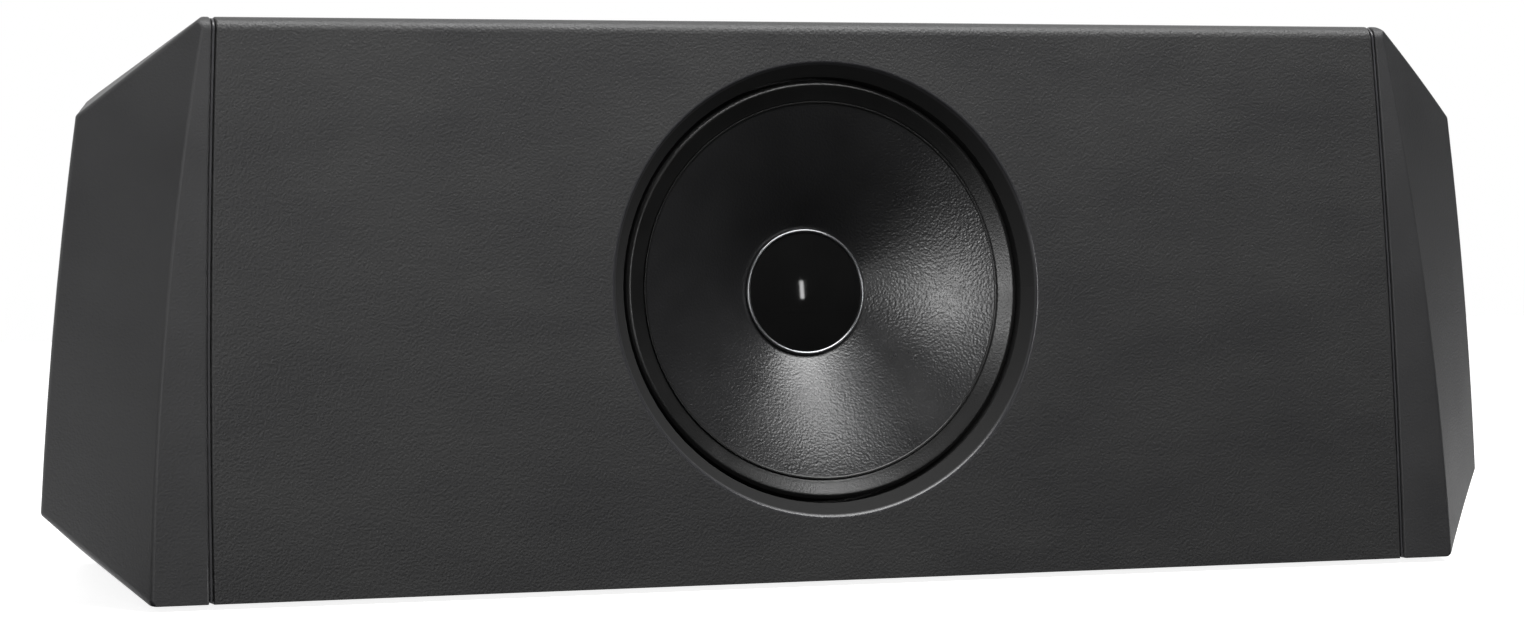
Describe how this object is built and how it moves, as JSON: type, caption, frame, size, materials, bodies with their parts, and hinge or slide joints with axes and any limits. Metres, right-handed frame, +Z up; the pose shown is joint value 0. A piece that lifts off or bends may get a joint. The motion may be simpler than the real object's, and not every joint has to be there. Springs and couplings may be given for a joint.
{
  "type": "center channel speaker",
  "caption": "Low, wide loudspeaker with a round cone driver in a leaning, pebbled front, faceted moulded end caps and a recessed terminal cup at the back.",
  "frame": {"origin": "middle of the base, level with the underside of the feet", "axes": "+Z up, the front with the driver faces -Y, the long side lies along X"},
  "size_m": [0.5692, 0.18, 0.2054],
  "materials": {
    "pebbled_vinyl": "charcoal vinyl film with a fine pebble grain, satin",
    "pebbled_abs": "charcoal moulded plastic with the same pebble grain",
    "seam_rubber": "smooth, slightly glossy bead",
    "raw_fibreboard": "bare medium density fibreboard",
    "black_fibreboard": "fibreboard with a black film, matt",
    "damping_fibre": "loose polyester fibre",
    "black_screw": "black oxide, satin",
    "cup_plastic": "moulded, fine satin",
    "plated_brass": "plated and polished",
    "tinned_tab": "tinned sheet",
    "red_plastic": "moulded, semi-gloss",
    "black_plastic": "moulded, semi-gloss",
    "gasket_foam": "closed cell foam",
    "coated_frame": "cast frame, satin black coat",
    "cone_pulp": "pressed pulp with a semi-gloss grained coat",
    "bright_ring": "polished silver",
    "gloss_cap": "smooth gloss black",
    "coil_former": "thin rolled foil",
    "copper_winding": "enamelled copper wire",
    "motor_steel": "zinc plated steel",
    "ferrite": "ground ferrite",
    "surround_rubber": "moulded, semi-gloss, fine grain",
    "spider_cloth": "impregnated woven cotton",
    "phenolic_strip": "phenolic paper board",
    "foot_rubber": "matt rubber"
  },
  "bodies": {
    "cabinet": {"cabinet_wrap": "pebbled_vinyl", "left_end_cap": "pebbled_abs", "right_end_cap": "pebbled_abs", "left_seam_gasket": "seam_rubber", "right_seam_gasket": "seam_rubber", "top_batten": "raw_fibreboard", "bottom_batten": "raw_fibreboard", "rear_panel": "black_fibreboard", "left_end_panel": "black_fibreboard", "right_end_panel": "black_fibreboard", "left_damping_wad": "damping_fibre", "right_damping_wad": "damping_fibre", "end_cap_screws": "black_screw", "rear_panel_screws": "black_screw", "terminal_cup_screws": "black_screw", "driver_screws": "black_screw", "terminal_cup": "cup_plastic", "terminal_studs": "plated_brass", "terminal_nuts": "plated_brass", "solder_tabs": "tinned_tab", "strip_tabs": "tinned_tab", "red_collar": "red_plastic", "black_collar": "black_plastic", "driver_gasket": "gasket_foam", "driver_basket": "coated_frame", "top_plate": "motor_steel", "pole_yoke": "motor_steel", "magnet": "ferrite", "surround": "surround_rubber", "spider": "spider_cloth", "terminal_strip": "phenolic_strip", "front_left_foot": "foot_rubber", "front_right_foot": "foot_rubber", "back_left_foot": "foot_rubber", "back_right_foot": "foot_rubber"},
    "diaphragm": {"cone": "cone_pulp", "cap_ring": "bright_ring", "dust_cap": "gloss_cap", "coil_former": "coil_former", "voice_coil": "copper_winding"},
    "red_knob": {"red_knob": "red_plastic"},
    "black_knob": {"black_knob": "black_plastic"}
  },
  "joints": [
    {"name": "cone_travel", "type": "slide", "parent": "cabinet", "child": "diaphragm", "axis": [0, -0.9969, 0.0785], "range_m": [-0.004, 0.004], "stiffness_N_per_m": 1200, "deforming": ["surround", "spider"]},
    {"name": "red_knob_turn", "type": "hinge", "parent": "cabinet", "child": "red_knob", "pos_m": [0.018, 0.0728, 0.0857], "axis": [0, 1, 0], "range_deg": [0, 1080]},
    {"name": "black_knob_turn", "type": "hinge", "parent": "cabinet", "child": "black_knob", "pos_m": [-0.018, 0.0728, 0.0857], "axis": [0, 1, 0], "range_deg": [0, 1080]}
  ]
}
